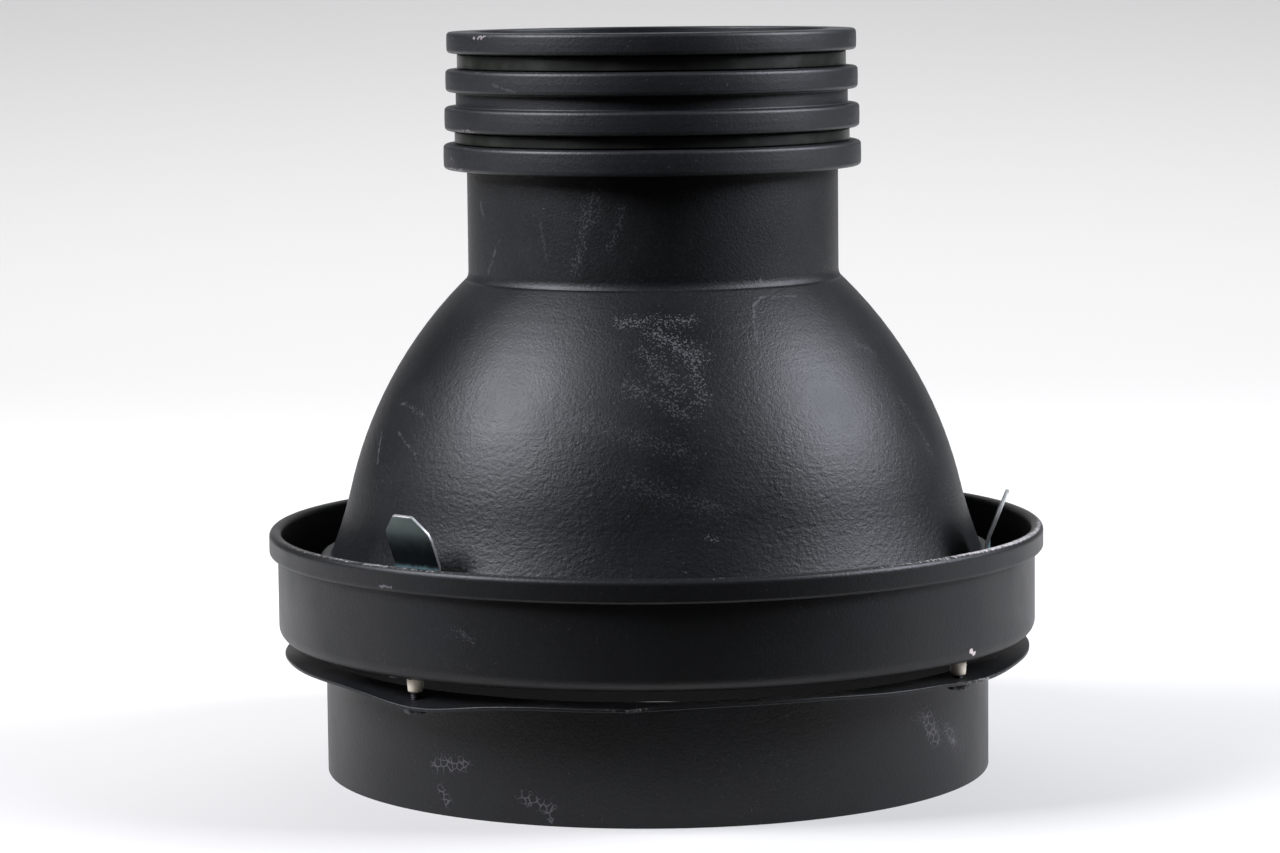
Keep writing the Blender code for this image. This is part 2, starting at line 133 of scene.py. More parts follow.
def rounded(corners, closed=True):
    """Outline through (radius, height, bend) corners. A bend is an arc of that radius, tangent to
    both sides, in equal steps of at most ARC_STEP. Straight runs get a point SUPPORT from each end
    and even steps of at most FILL between, so that flat faces stay flat under smooth shading."""
    count = len(corners)
    runs = []
    for index, (x, z, bend) in enumerate(corners):
        corner = np.array((x, z), float)
        if bend <= 0.0 or (not closed and index in (0, count - 1)):
            runs.append(corner[None])
            continue
        before = unit(np.array(corners[index - 1][:2]) - corner)
        after = unit(np.array(corners[(index + 1) % count][:2]) - corner)
        half = math.acos(np.clip(before @ after, -1.0, 1.0)) / 2.0
        centre = corner + unit(before + after) * bend / math.sin(half)
        start = corner + before * bend / math.tan(half) - centre
        end = corner + after * bend / math.tan(half) - centre
        turn = math.atan2(start[0] * end[1] - start[1] * end[0], start @ end)
        angles = np.linspace(0.0, turn, max(3, math.ceil(abs(turn) / ARC_STEP) + 1))
        cos, sin = np.cos(angles), np.sin(angles)
        arc = np.stack((cos * start[0] - sin * start[1], sin * start[0] + cos * start[1]), 1)
        runs.append(centre + arc)
    outline = []
    for index, run in enumerate(runs):
        outline.append(run)
        if not closed and index == count - 1:
            break
        start, end = run[-1], runs[(index + 1) % count][0]
        length = np.linalg.norm(end - start)
        if length > 3.0 * SUPPORT:
            inside = np.linspace(SUPPORT, length - SUPPORT, max(2, math.ceil(length / FILL) + 1))
            outline.append(start + (end - start) * inside[:, None] / length)
    return np.concatenate(outline)


def sheet_outline(side, thickness):
    """Closed outline of a sheet: an open side, and the same line moved to its right by the thickness
    along the normal, which is the mean of the directions before and after each point."""
    way = np.gradient(side, axis=0)
    normal = np.stack((way[:, 1], -way[:, 0]), 1) / np.linalg.norm(way, axis=1)[:, None]
    return np.concatenate((side, (side + normal * thickness)[::-1]))


def surface(name, points, wrap_rows=False, wrap_columns=True, wear=None):
    """Mesh object over a grid of points (rows, columns, 3) in mm: one quad between each four
    neighbours. Rows and columns may join end to end. Poles and doubled points are welded, and the
    faces are turned outward by the sign of the enclosed volume."""
    rows, columns = points.shape[:2]
    index = np.arange(rows * columns).reshape(rows, columns)
    if wrap_rows:
        index = np.vstack((index, index[:1]))
    if wrap_columns:
        index = np.hstack((index, index[:, :1]))
    quads = np.stack((index[:-1, :-1], index[1:, :-1], index[1:, 1:], index[:-1, 1:]), -1)
    quads = quads.reshape(-1, 4)
    flat = points.reshape(-1, 3) * MM
    corner = [flat[quads[:, side]] for side in range(4)]
    halves = (corner[:3], (corner[0], corner[2], corner[3]))
    volume = sum((a * np.cross(b, c)).sum() for a, b, c in halves)
    if volume < 0.0:
        quads = quads[:, ::-1]
    mesh = bpy.data.meshes.new(name)
    mesh.vertices.add(len(flat))
    mesh.vertices.foreach_set("co", flat.astype(np.float32).ravel())
    mesh.loops.add(quads.size)
    mesh.loops.foreach_set("vertex_index", quads.astype(np.int32).ravel())
    mesh.polygons.add(len(quads))
    mesh.polygons.foreach_set("loop_start", np.arange(0, quads.size, 4, dtype=np.int32))
    mesh.update(calc_edges=True)
    if wear is not None:
        attribute = mesh.attributes.new("wear", "FLOAT", "POINT")
        attribute.data.foreach_set("value", wear.astype(np.float32).ravel())
    shape = bmesh.new()
    shape.from_mesh(mesh)
    bmesh.ops.remove_doubles(shape, verts=shape.verts, dist=1e-7)
    shape.to_mesh(mesh)
    shape.free()
    mesh.polygons.foreach_set("use_smooth", np.ones(len(mesh.polygons), bool))
    mesh.validate()
    obj = bpy.data.objects.new(name, mesh)
    bpy.context.scene.collection.objects.link(obj)
    return obj


def turned(name, outline, segments, closed=True, change=None, wear=None, centre=(0.0, 0.0)):
    """Surface of revolution: x = r sin(a), y = -r cos(a), z = h for each outline point (r, h) and
    azimuth a. change(a, r, h) may return a new (r, h), and wear(a, r, h) gives 0 to 1."""
    azimuth = np.linspace(-math.pi, math.pi, segments, endpoint=False)[None, :]
    radius = np.repeat(outline[:, :1], segments, axis=1)
    height = np.repeat(outline[:, 1:], segments, axis=1)
    degrees = np.degrees(azimuth) + 0.0 * radius
    worn = wear(degrees, radius, height) if wear else None
    if change:
        radius, height = change(degrees, radius, height)
    x = centre[0] + radius * np.sin(azimuth)
    y = centre[1] - radius * np.cos(azimuth)
    return surface(name, np.stack((x, y, height), -1), wrap_rows=closed, wear=worn)


def bar(name, stations, outward, across, half_widths, place, wear=None):
    """A flat bar of clip sheet bent along a path. stations are (outward, height) centre points,
    outward and across are its frame's axes, and each section is a rectangle of the given half-width
    with rounded corners, square to the path. Its two ends close on their middle points."""
    way = np.gradient(stations, axis=0)
    way /= np.linalg.norm(way, axis=1)[:, None]
    turn = np.radians(np.array([0.0, 30.0, 60.0, 90.0]))
    loop = []
    for quarter, (sx, sy) in enumerate(((1.0, 1.0), (-1.0, 1.0), (-1.0, -1.0), (1.0, -1.0))):
        angles = turn + quarter * math.pi / 2.0
        loop.append(np.stack((np.full(4, sx), np.full(4, sy), np.cos(angles), np.sin(angles)), 1))
    loop = np.concatenate(loop)
    half = np.asarray(half_widths)[:, None]
    v = loop[None, :, 0] * (half - CLIP_EDGE) + loop[None, :, 2] * CLIP_EDGE
    w = loop[None, :, 1] * (CLIP_SHEET / 2.0 - CLIP_EDGE) + loop[None, :, 3] * CLIP_EDGE
    u = stations[:, :1] + w * way[:, 1:]
    h = stations[:, 1:] - w * way[:, :1]
    upward = np.array((0.0, 0.0, 1.0))
    points = place + u[..., None] * outward + v[..., None] * across + h[..., None] * upward
    ends = [points[:1].mean(axis=1, keepdims=True), points[-1:].mean(axis=1, keepdims=True)]
    wide = points.shape[1]
    points = np.concatenate((np.repeat(ends[0], wide, 1), points, np.repeat(ends[1], wide, 1)))
    worn = None
    if wear is not None:
        side = np.abs(loop[:, 2]) > np.abs(loop[:, 3])
        worn = np.repeat(wear[:, None], wide, 1) + side[None, :] * 1.0
        worn = np.concatenate((np.ones((1, wide)), worn, np.ones((1, wide))))
    return surface(name, points, wear=worn)


def bump_at(value, centre, width):
    """A bell curve of height 1 and the given half-width."""
    return np.exp(-0.5 * ((value - centre) / width) ** 2)


def turn_from(azimuth, centre):
    """Turn from one azimuth to another, from -180 to 180 degrees."""
    return (azimuth - centre + 180.0) % 360.0 - 180.0


def flange_rise(azimuth, radius):
    """Rise of the bent flange in mm: a sum of bell curves and of two fine waves round the edge,
    growing outward."""
    reach = np.clip((radius - FLANGE_ROOT) / (FLANGE_OUTER - FLANGE_ROOT), 0.0, 1.0)
    rise = sum(height * bump_at(turn_from(azimuth, centre), 0.0, width)
               for centre, width, height in FLANGE_BENDS)
    angle = np.radians(azimuth)
    ripple = 0.12 * np.sin(angle * 9.0 + 0.7) + 0.08 * np.sin(angle * 17.0)
    return (rise + ripple) * reach


def ridge_top(index):
    """Height of a collar ridge's upper face."""
    return COLLAR_TOP - index * RIDGE_PITCH


def ridge_bottom(index):
    """Height of a collar ridge's lower face."""
    return ridge_top(index) - RIDGES[index][1]


def dome_side():
    """The dome's outer side: a circular arc from the neck, a flare r = end + 0.24 d + 0.005 d^2 over
    the drop d, a rounded shoulder, and a straight skirt."""
    centre_r, centre_z = DOME_ARC_CENTRE
    first = math.acos((NECK_OUTER + TOUCH - centre_r) / DOME_ARC_RADIUS)
    last = math.asin((FLARE_TOP - centre_z) / DOME_ARC_RADIUS)
    angles = np.linspace(first, last, 48)
    arc = DOME_ARC_CENTRE + DOME_ARC_RADIUS * np.stack((np.cos(angles), np.sin(angles)), 1)
    drop = np.linspace(0.9, 14.4, 12)
    flare = np.stack((arc[-1, 0] + 0.24 * drop + 0.005 * drop ** 2, FLARE_TOP - drop), 1)
    foot = flare[-1]
    shoulder = rounded((
        (foot[0], foot[1], 0.0), (foot[0] + 0.5, SHOULDER_HEIGHT, 1.0),
        (SKIRT_OUTER, SHOULDER_HEIGHT, 1.1), (SKIRT_OUTER, SKIRT_BOTTOM, 0.0),
    ), closed=False)
    return np.concatenate((arc, flare[:-1], shoulder))


def make_dome():
    """The spun dome, with faint rings left by spinning: a radial ripple of under 0.04 mm."""
    def spun(azimuth, radius, height):
        ripple = 0.018 * np.sin(height * 1.9) + 0.02 * np.sin(np.radians(azimuth) * 3.0 + height * 0.05)
        above_shoulder = np.clip((height - 56.0) / 10.0, 0.0, 1.0)
        below_neck = np.clip((116.0 - height) / 4.0, 0.0, 1.0)
        return radius + ripple * above_shoulder * below_neck, height
    return turned("dome_skin", sheet_outline(dome_side(), DOME_SHEET), 400, change=spun)


def make_neck():
    """The neck tube. Its foot turns out on a fillet, and thins away to nothing on the dome."""
    inner = NECK_OUTER - NECK_SHEET
    slope = unit(np.array((0.722, -0.692)))     # the dome's side, down from the crease
    foot = np.array((NECK_OUTER, CREASE_HEIGHT)) + slope * NECK_FOOT
    outline = rounded((
        (NECK_OUTER, NECK_TOP, 0.15), (NECK_OUTER, CREASE_HEIGHT, NECK_FILLET),
        (foot[0], foot[1] - 0.10, 0.0),
        (NECK_OUTER + 0.3, CREASE_HEIGHT - 1.6, 0.0), (NECK_OUTER, CREASE_HEIGHT - 2.4, 0.0),
        (NECK_OUTER, NECK_BOTTOM, 0.15), (inner, NECK_BOTTOM, 0.15), (inner, NECK_TOP, 0.15),
    ))
    return turned("neck_skin", outline, 320)


def make_collar():
    """The front collar: four ridges with rounded rims on a bored sleeve, and a lip at the front."""
    corners = []
    for index, (outer, _) in enumerate(RIDGES):
        corners.append((outer - 0.06, ridge_top(index), 0.9))
        corners.append((outer, (ridge_top(index) + ridge_bottom(index)) / 2.0, 0.0))
        corners.append((outer - 0.06, ridge_bottom(index), 0.9))
        if index < len(RIDGES) - 1:
            corners.append((GROOVE_FLOORS[index], ridge_bottom(index), 0.25))
            corners.append((GROOVE_FLOORS[index], ridge_top(index + 1), 0.25))
    bore, lip = NECK_OUTER + TOUCH, COLLAR_TOP - COLLAR_LIP
    corners += [(bore, ridge_bottom(3), 0.2), (bore, lip, 0.0),
                (COLLAR_MOUTH, lip, 0.2), (COLLAR_MOUTH, COLLAR_TOP, 0.4)]

    def wear(azimuth, radius, height):
        """Paint is rubbed on the ridges' rims, more to the left."""
        rims = 0.0
        for index, (outer, _) in enumerate(RIDGES):
            upper = bump_at(height, ridge_top(index), 0.45)
            lower = bump_at(height, ridge_bottom(index), 0.45)
            rims = rims + bump_at(radius, outer, 0.5) * (upper + 0.8 * lower)
        left = bump_at(turn_from(azimuth, -60.0), 0.0, 25.0)
        return np.clip(rims, 0.0, 1.0) * (0.33 + 0.3 * left)
    return turned("collar_skin", rounded(corners), 360, wear=wear)


def make_band(name, groove):
    """A flat band in a groove, with lightly rounded corners."""
    inner = GROOVE_FLOORS[groove] + TOUCH
    outer = inner + BAND_THICKNESS
    top = ridge_bottom(groove) - BAND_SIDE_GAP
    bottom = ridge_top(groove + 1) + BAND_SIDE_GAP
    corners = ((outer, top), (outer, bottom), (inner, bottom), (inner, top))
    return turned(name, rounded([(*corner, 0.12) for corner in corners]), 256)


def make_pan():
    """The pan: floor ring, rounded corner, wall, and a rim rolled outward and down, with the
    rolled sheet's edge tucked in under it."""
    outline = rounded((
        (CURL_OUTER, CURL_TOP, 1.42), (CURL_OUTER, CURL_BOTTOM, 0.9),
        (PAN_OUTER + 0.7, CURL_BOTTOM + 0.1, 0.25),
        (PAN_OUTER + 0.45, CURL_BOTTOM + 1.5, 0.0), (PAN_OUTER, CURL_BOTTOM + 1.5, 0.0),
        (PAN_OUTER, PAN_UNDERSIDE, 3.0), (PAN_FLOOR_INNER, PAN_UNDERSIDE, 0.15),
        (PAN_FLOOR_INNER, PAN_FLOOR, 0.15), (PAN_INNER, PAN_FLOOR, 2.1), (PAN_INNER, CURL_TOP, 1.42),
    ))

    def wear(azimuth, radius, height):
        """The top of the rim is rubbed bare, most to the right and left, least in front."""
        crest = bump_at(height, CURL_TOP - 0.2, 0.4) * bump_at(radius, CURL_OUTER - 1.1, 0.8)
        right = bump_at(turn_from(azimuth, 64.0), 0.0, 20.0)
        left = bump_at(turn_from(azimuth, -48.0), 0.0, 16.0)
        return np.clip(crest * (0.38 + 0.62 * right + 0.3 * left), 0.0, 1.0)

    def uneven(azimuth, radius, height):
        """A hand-rolled rim is a little uneven: it dips by up to 0.2 mm."""
        share = np.clip((height - 50.0) / 8.0, 0.0, 1.0)
        dip = 0.1 * (1.0 + np.sin(np.radians(azimuth) * 5.0 + 1.0)) * share
        return radius, height - dip
    return turned("pan_skin", outline, 480, change=uneven, wear=wear)


def make_tube():
    """The mounting tube with its thin flange. The flange's edge is bent in places and has a small
    nick in front."""
    underside, inner = FLANGE_TOP - TUBE_SHEET, TUBE_OUTER - TUBE_SHEET
    outline = rounded((
        (FLANGE_OUTER, FLANGE_TOP, 0.22), (FLANGE_OUTER, underside, 0.22), (FLANGE_ROOT, underside, 0.0),
        (TUBE_OUTER, underside, 0.8), (TUBE_OUTER, 0.0, 0.2), (inner, 0.0, 0.2),
        (inner, FLANGE_TOP, 1.6), (FLANGE_ROOT + 0.2, FLANGE_TOP, 0.0),
    ))

    def bent(azimuth, radius, height):
        """Bend the flange, and press the nick 0.45 mm in and 0.35 mm down at its edge."""
        near_edge = np.clip(radius - FLANGE_OUTER + 1.5, 0.0, 1.5) / 1.5
        nick = bump_at(turn_from(azimuth, -4.4), 0.0, 0.55) * near_edge
        return radius - 0.45 * nick, height + flange_rise(azimuth, radius) - 0.35 * nick

    def wear(azimuth, radius, height):
        """The flange's edge is rubbed all round, and more by the nick and by the right bend."""
        nick = bump_at(turn_from(azimuth, -4.4), 0.0, 2.5)
        bend = bump_at(turn_from(azimuth, 57.0), 0.0, 6.0)
        return bump_at(radius, FLANGE_OUTER, 0.5) * (0.3 + 0.25 * nick + 0.3 * bend)
    return turned("tube_skin", outline, 540, change=bent, wear=wear)


def clip_axes(azimuth, turn, shift):
    """A clip's nose point, its outward axis and its axis along the width."""
    nose = around(azimuth, NOSE_RADIUS + shift)
    return nose, around(azimuth + turn, 1.0), around(azimuth + turn + 90.0, 1.0)


def make_blade(name, azimuth, turn, shift):
    """A spring clip's blade: up from the foot, in to a nose that bears on the dome, and out again to
    a tip with two sheared corners."""
    path = rounded(BLADE_PATH, closed=False)
    tip = BLADE_PATH[-1][1]
    above = np.clip((path[:, 1] - (tip - TIP_CORNER)) / TIP_CORNER, 0.0, 1.0)
    nose, outward, across = clip_axes(azimuth, turn, shift)
    wear = bump_at(path[:, 1], tip, 0.15)
    return bar(name, path, outward, across, BLADE_HALF_WIDTH - TIP_NARROWING * above, nose, wear)


def make_foot(name, azimuth, turn, shift, side):
    """The clip's foot: a flat tab on the pan's floor, its corners quarter circles."""
    nose, outward, across = clip_axes(azimuth, turn, shift)
    along = np.linspace(FOOT_INNER, FOOT_OUTER, 9)
    inside = np.clip(FOOT_ROUND - np.minimum(along - FOOT_INNER, FOOT_OUTER - along), 0.0, FOOT_ROUND)
    round_off = FOOT_ROUND - np.sqrt(np.clip(FOOT_ROUND ** 2 - inside ** 2, 0.0, None))
    stations = np.stack((along, np.full(9, PAN_FLOOR + TOUCH + CLIP_SHEET / 2.0)), 1)
    place = nose + across * side * FOOT_ASIDE
    return bar(name, stations, outward, across, FOOT_HALF_WIDTH - round_off, place)


def make_rivet(name, point):
    """A domed rivet head above the foot, its shank, and a flat tail under the pan."""
    bottom, top = PAN_FLOOR + CLIP_SHEET + 2.0 * TOUCH, PAN_UNDERSIDE - TOUCH
    outline = rounded((
        (0.0, bottom + 0.9, 0.0), (1.1, bottom + 0.85, 0.5), (1.7, bottom + 0.2, 0.3), (1.65, bottom, 0.05),
        (0.9, bottom, 0.0), (0.9, top, 0.0), (1.7, top, 0.1), (1.6, top - 0.6, 0.2), (0.0, top - 0.6, 0.0),
    ), closed=False)
    return turned(name, outline, 40, closed=False, centre=point)


def make_spacer(name, point):
    """A ceramic bead, straight at the top and tapered to a rounded foot, bored for the screw."""
    top = PAN_UNDERSIDE - TOUCH
    bottom = top - BEAD_LENGTH
    bore = SHANK_RADIUS + TOUCH
    outline = rounded((
        (1.9, top, 0.1), (1.9, top - 0.8, 1.2), (1.7, bottom, 0.35),
        (bore, bottom, 0.05), (bore, top, 0.05),
    ))
    return turned(name, outline, 48, centre=point)


def nut_top(azimuth):
    """Highest place for a nut that clears the bent flange: as low as its edge is bent there."""
    corner = NUT_FLATS / math.sqrt(3.0)
    half = math.degrees(corner / STACK_RADIUS)
    rises = [0.0]
    for turn in (-half, 0.0, half):
        edge = sum(height * float(bump_at(turn_from(azimuth + turn, centre), 0.0, width))
                   for centre, width, height in FLANGE_BENDS)
        for radius in (STACK_RADIUS, STACK_RADIUS + corner):
            rises.append(edge * (radius - FLANGE_ROOT) / (FLANGE_OUTER - FLANGE_ROOT))
    return FLANGE_TOP - TUBE_SHEET + min(rises) - TOUCH


def make_screw(name, azimuth):
    """Pan-head screw with a straight slot in its head and a thread on its shank:
    radius = shank - depth x triangle(turns + height / pitch)."""
    head, tip = PAN_FLOOR + TOUCH, nut_top(azimuth) - NUT_HEIGHT - SCREW_TIP
    outline = rounded((
        (0.0, head + SCREW_HEAD, 0.0), (1.5, head + SCREW_HEAD, 0.9), (2.2, head + 0.5, 0.5),
        (2.2, head, 0.1), (SHANK_RADIUS, head, 0.0), (SHANK_RADIUS, tip + 0.2, 0.0),
        (SHANK_RADIUS - 0.2, tip, 0.0), (0.0, tip, 0.0),
    ), closed=False)
    # the shank's straight side, in steps fine enough for its thread
    shank = np.linspace(PAN_UNDERSIDE, tip + 0.25, 90)
    above = outline[:np.argmax(outline[:, 1] < head - 0.05)]
    below = outline[outline[:, 1] <= tip + 0.201]
    outline = np.concatenate((above, np.stack((np.full(90, SHANK_RADIUS), shank), 1), below))

    def cut(degrees, radius, height):
        """Cut the thread into the shank and the slot into the head."""
        turns = degrees / 360.0 + height / THREAD_PITCH
        tooth = np.abs(turns % 1.0 - 0.5) * 2.0
        thread = (np.abs(radius - SHANK_RADIUS) < 0.05) & (height < PAN_UNDERSIDE)
        slot = (np.abs(radius * np.sin(np.radians(degrees + 30.0))) < 0.3) & (height > head + 0.7)
        return radius - THREAD_DEPTH * tooth * thread, height - 0.7 * slot
    return turned(name, outline, 72, closed=False, change=cut, centre=around(azimuth, STACK_RADIUS))


def make_nut(name, azimuth):
    """Hexagon nut: radius = the smaller of a chamfer cone and the hexagon, which is
    half the flats over cos of the angle from the nearest flat."""
    top = nut_top(azimuth)
    bottom = top - NUT_HEIGHT
    bore = SHANK_RADIUS + TOUCH
    outline = rounded((
        (2.2, top, 0.0), (2.6, top - 0.22, 0.0), (2.6, bottom + 0.22, 0.0), (2.2, bottom, 0.0),
        (1.6, bottom, 0.0), (bore, bottom + 0.2, 0.0), (bore, top - 0.2, 0.0), (1.6, top, 0.0),
    ))

    def hexagon(degrees, radius, height):
        flat = np.radians((degrees + 30.0) % 60.0 - 30.0)
        return np.minimum(radius, NUT_FLATS / 2.0 / np.cos(flat)), height
    return turned(name, outline, 96, change=hexagon, centre=around(azimuth, STACK_RADIUS))


# ---------------------------------------------------------------- finishes

def srgb(text):
    """Linear colour of an sRGB hex code: ((c + 0.055) / 1.055)^2.4, or c / 12.92 in the darks."""
    values = [int(text[i:i + 2], 16) / 255.0 for i in (1, 3, 5)]
    return (*(((c + 0.055) / 1.055) ** 2.4 if c > 0.04045 else c / 12.92 for c in values), 1.0)


def node(tree, kind, inputs=None, **settings):
    """Add a node, set its properties, and fill or wire its inputs by name or number."""
    made = tree.nodes.new(kind)
    for key, value in settings.items():
        setattr(made, key, value)
    for key, value in (inputs or {}).items():
        if isinstance(value, bpy.types.NodeSocket):
            tree.links.new(value, made.inputs[key])
        else:
            made.inputs[key].default_value = value
    return made


def sums(tree, operation, a, b=0.0, clamp=False):
    """One Math node's output."""
    return node(tree, "ShaderNodeMath", {0: a, 1: b}, operation=operation, use_clamp=clamp).outputs[0]


def noise(tree, position, scale, detail=2.0, roughness=0.5):
    """Noise of the given number of cells per millimetre."""
    inputs = {"Vector": position, "Scale": scale, "Detail": detail, "Roughness": roughness}
    return node(tree, "ShaderNodeTexNoise", inputs).outputs["Fac"]


def ramp(tree, value, low, high, to_low=0.0, to_high=1.0):
    """Smooth step from to_low at low to to_high at high."""
    inputs = {"Value": value, "From Min": low, "From Max": high, "To Min": to_low, "To Max": to_high}
    return node(tree, "ShaderNodeMapRange", inputs, interpolation_type="SMOOTHSTEP").outputs[0]


def product(tree, a, b):
    """a x b."""
    return sums(tree, "MULTIPLY", a, b)


def around_zero(tree, value, size):
    """A noise value moved to swing either side of zero, over the given range in all."""
    return product(tree, sums(tree, "SUBTRACT", value, 0.5), size)


def bumped(tree, shader, height, strength=1.0, distance=MM):
    """Give a shader the relief of a height value."""
    inputs = {"Strength": strength, "Distance": distance, "Height": height}
    tree.links.new(node(tree, "ShaderNodeBump", inputs).outputs[0], shader.inputs["Normal"])


def height_of(tree, position):
    """The height part of a position."""
    return node(tree, "ShaderNodeSeparateXYZ", {0: position}).outputs["Z"]


def wear_of(tree):
    """The wear attribute, 0 to 1."""
    return node(tree, "ShaderNodeAttribute", attribute_name="wear").outputs["Fac"]


def mixed(tree, share, first, second):
    """Colour mix of first and second by share."""
    return node(tree, "ShaderNodeMix", {0: share, 6: first, 7: second}, data_type="RGBA").outputs[2]


def stroke_group():
    """Node group: how strongly a point is marked by a stroke between two points. The stroke fades
    from 1 on its line to 0 a width away, and shows only where it is above the grain's value."""
    group = bpy.data.node_groups.new("stroke", "ShaderNodeTree")
    for name in ("Position", "From", "To"):
        group.interface.new_socket(name, in_out="INPUT", socket_type="NodeSocketVector")
    for name in ("Width", "Grain", "Amount"):
        group.interface.new_socket(name, in_out="INPUT", socket_type="NodeSocketFloat")
    group.interface.new_socket("Mask", in_out="OUTPUT", socket_type="NodeSocketFloat")
    enter, leave = node(group, "NodeGroupInput"), node(group, "NodeGroupOutput")

    def vector(operation, a, b):
        return node(group, "ShaderNodeVectorMath", {0: a, 1: b}, operation=operation)
    start, end = enter.outputs["From"], enter.outputs["To"]
    along = vector("SUBTRACT", end, start).outputs[0]
    offset = vector("SUBTRACT", enter.outputs["Position"], start).outputs[0]
    share = sums(group, "DIVIDE", vector("DOT_PRODUCT", offset, along).outputs["Value"],
                 vector("DOT_PRODUCT", along, along).outputs["Value"], clamp=True)
    near = node(group, "ShaderNodeVectorMath", {0: along, "Scale": share}, operation="SCALE").outputs[0]
    distance = vector("DISTANCE", offset, near).outputs["Value"]
    widths_away = sums(group, "DIVIDE", distance, enter.outputs["Width"])
    falloff = sums(group, "SUBTRACT", 1.0, widths_away, clamp=True)
    shown = ramp(group, sums(group, "SUBTRACT", falloff, enter.outputs["Grain"]), 0.0, 0.22)
    group.links.new(product(group, shown, enter.outputs["Amount"]), leave.inputs["Mask"])
    return group


def shader_of(name):
    """A new material's node tree and its shader, with the tree otherwise as made."""
    material = bpy.data.materials.new(name)
    material.use_nodes = True
    return material, material.node_tree, material.node_tree.nodes["Principled BSDF"]


def millimetres(tree):
    """Object coordinates in millimetres."""
    place = node(tree, "ShaderNodeTexCoord").outputs["Object"]
    return node(tree, "ShaderNodeVectorMath", {0: place, "Scale": 1000.0}, operation="SCALE").outputs[0]


def patterns(tree, position):
    """What breaks a mark up, as a value from 0, easily marked, to 1. "speck": fine grains about
    0.5 mm across. "web": the edges of cells about 1.6 mm across, as dried foam leaves them. "line":
    nearly even, for a scratch."""
    speck = ramp(tree, noise(tree, position, 1.9, 3.0, 0.7), 0.30, 0.53)
    inputs = {"Vector": position, "Scale": 0.62, "Randomness": 1.0}
    cells = node(tree, "ShaderNodeTexVoronoi", inputs, feature="DISTANCE_TO_EDGE")
    edges = ramp(tree, cells.outputs["Distance"], 0.0, 0.16, 0.1, 1.1)
    web = sums(tree, "ADD", edges, product(tree, speck, 0.3))
    line = ramp(tree, noise(tree, position, 0.9, 2.0, 0.6), 0.35, 0.68, 0.0, 0.9)
    return {"speck": speck, "web": web, "line": line}


def strokes(tree, position, grains, marks, radius_at):
    """The strongest of several strokes at a point. Each is (azimuth, height) to (azimuth, height),
    width, amount, and the pattern that breaks it up."""
    total = None
    for (a0, z0), (a1, z1), width, amount, pattern in marks:
        made = node(tree, "ShaderNodeGroup", node_tree=STROKE)
        tree.links.new(position, made.inputs["Position"])
        tree.links.new(grains[pattern], made.inputs["Grain"])
        # the ends are set a hair apart, so that a stroke is never of zero length
        made.inputs["From"].default_value = around(a0, radius_at(z0), z0)
        made.inputs["To"].default_value = around(a1, radius_at(z1), z1) + 1e-4
        made.inputs["Width"].default_value = width
        made.inputs["Amount"].default_value = amount
        total = made.outputs[0] if total is None else sums(tree, "MAXIMUM", total, made.outputs[0])
    return total


def powder_coat(name, base="#0d0e0f", fine=1.0, crinkle=1.0, rough=0.42, sheen=0.36, dust=0.5,
                marks=(), chips=(), radius_at=None):
    """Black fine-texture powder coat on sheet metal. Pits under a millimetre across give the satin
    highlights their sparkle, a faint crinkle lies over the lower parts, dust lightens it in small
    specks, rubbed rims show grey through the paint, and dust and chips lie in strokes."""
    material, tree, shader = shader_of(name)
    position = millimetres(tree)
    # relief: pits everywhere, and a crinkle, drawn out sideways, that fades up the dome
    pits = product(tree, noise(tree, position, 1.4, 3.0, 0.75), 0.11 * fine)
    flattened = node(tree, "ShaderNodeVectorMath", {0: position, 1: (1.0, 1.0, 1.7)}, operation="MULTIPLY")
    wander = product(tree, noise(tree, position, 0.05, 1.0), 40.0)
    lower = ramp(tree, sums(tree, "ADD", height_of(tree, position), wander), 96.0, 124.0, 1.0, 0.15)
    waves = product(tree, noise(tree, flattened.outputs[0], 0.62, 1.0, 0.5), lower)
    bumped(tree, shader, sums(tree, "ADD", pits, product(tree, waves, 0.085 * crinkle)))
    # colour: slow drift, a sandy mottle, and specks of dust caught in the texture
    drift = noise(tree, position, 0.045, 3.0, 0.6)
    colour = mixed(tree, ramp(tree, drift, 0.3, 0.7), srgb(base), srgb("#141517"))
    mottle = ramp(tree, noise(tree, position, 1.3, 3.0, 0.75), 0.46, 0.68, 0.0, 0.24)
    colour = mixed(tree, product(tree, mottle, dust), colour, srgb("#3a3a3b"))
    specks = ramp(tree, noise(tree, position, 1.5, 2.0, 0.75), 0.66, 0.76)
    patches = ramp(tree, noise(tree, position, 0.07, 2.0), 0.42, 0.66, 0.2, 1.0)
    film = product(tree, product(tree, specks, patches), dust)
    grains = patterns(tree, position)
    if marks:
        film = sums(tree, "MAXIMUM", film, strokes(tree, position, grains, marks, radius_at))
    colour = mixed(tree, film, colour, srgb("#77757a"))
    # rubbed rims: paint broken through to grey where the wear attribute is high
    torn = around_zero(tree, noise(tree, position, 1.3, 3.0, 0.8), 1.6)
    broken = ramp(tree, sums(tree, "ADD", wear_of(tree), torn), 0.55, 0.95)
    colour = mixed(tree, broken, colour, srgb("#c9c4c3"))
    if chips:
        chipped = strokes(tree, position, grains, chips, radius_at)
        colour = mixed(tree, chipped, colour, srgb("#d6c9c6"))
    # dust dulls the satin
    satin = ramp(tree, drift, 0.25, 0.75, rough - 0.03, rough + 0.05)
    shader.inputs["Specular IOR Level"].default_value = sheen
    tree.links.new(colour, shader.inputs["Base Color"])
    tree.links.new(sums(tree, "ADD", satin, product(tree, film, 0.3)), shader.inputs["Roughness"])
    tree.links.new(product(tree, broken, 0.2), shader.inputs["Metallic"])
    return material


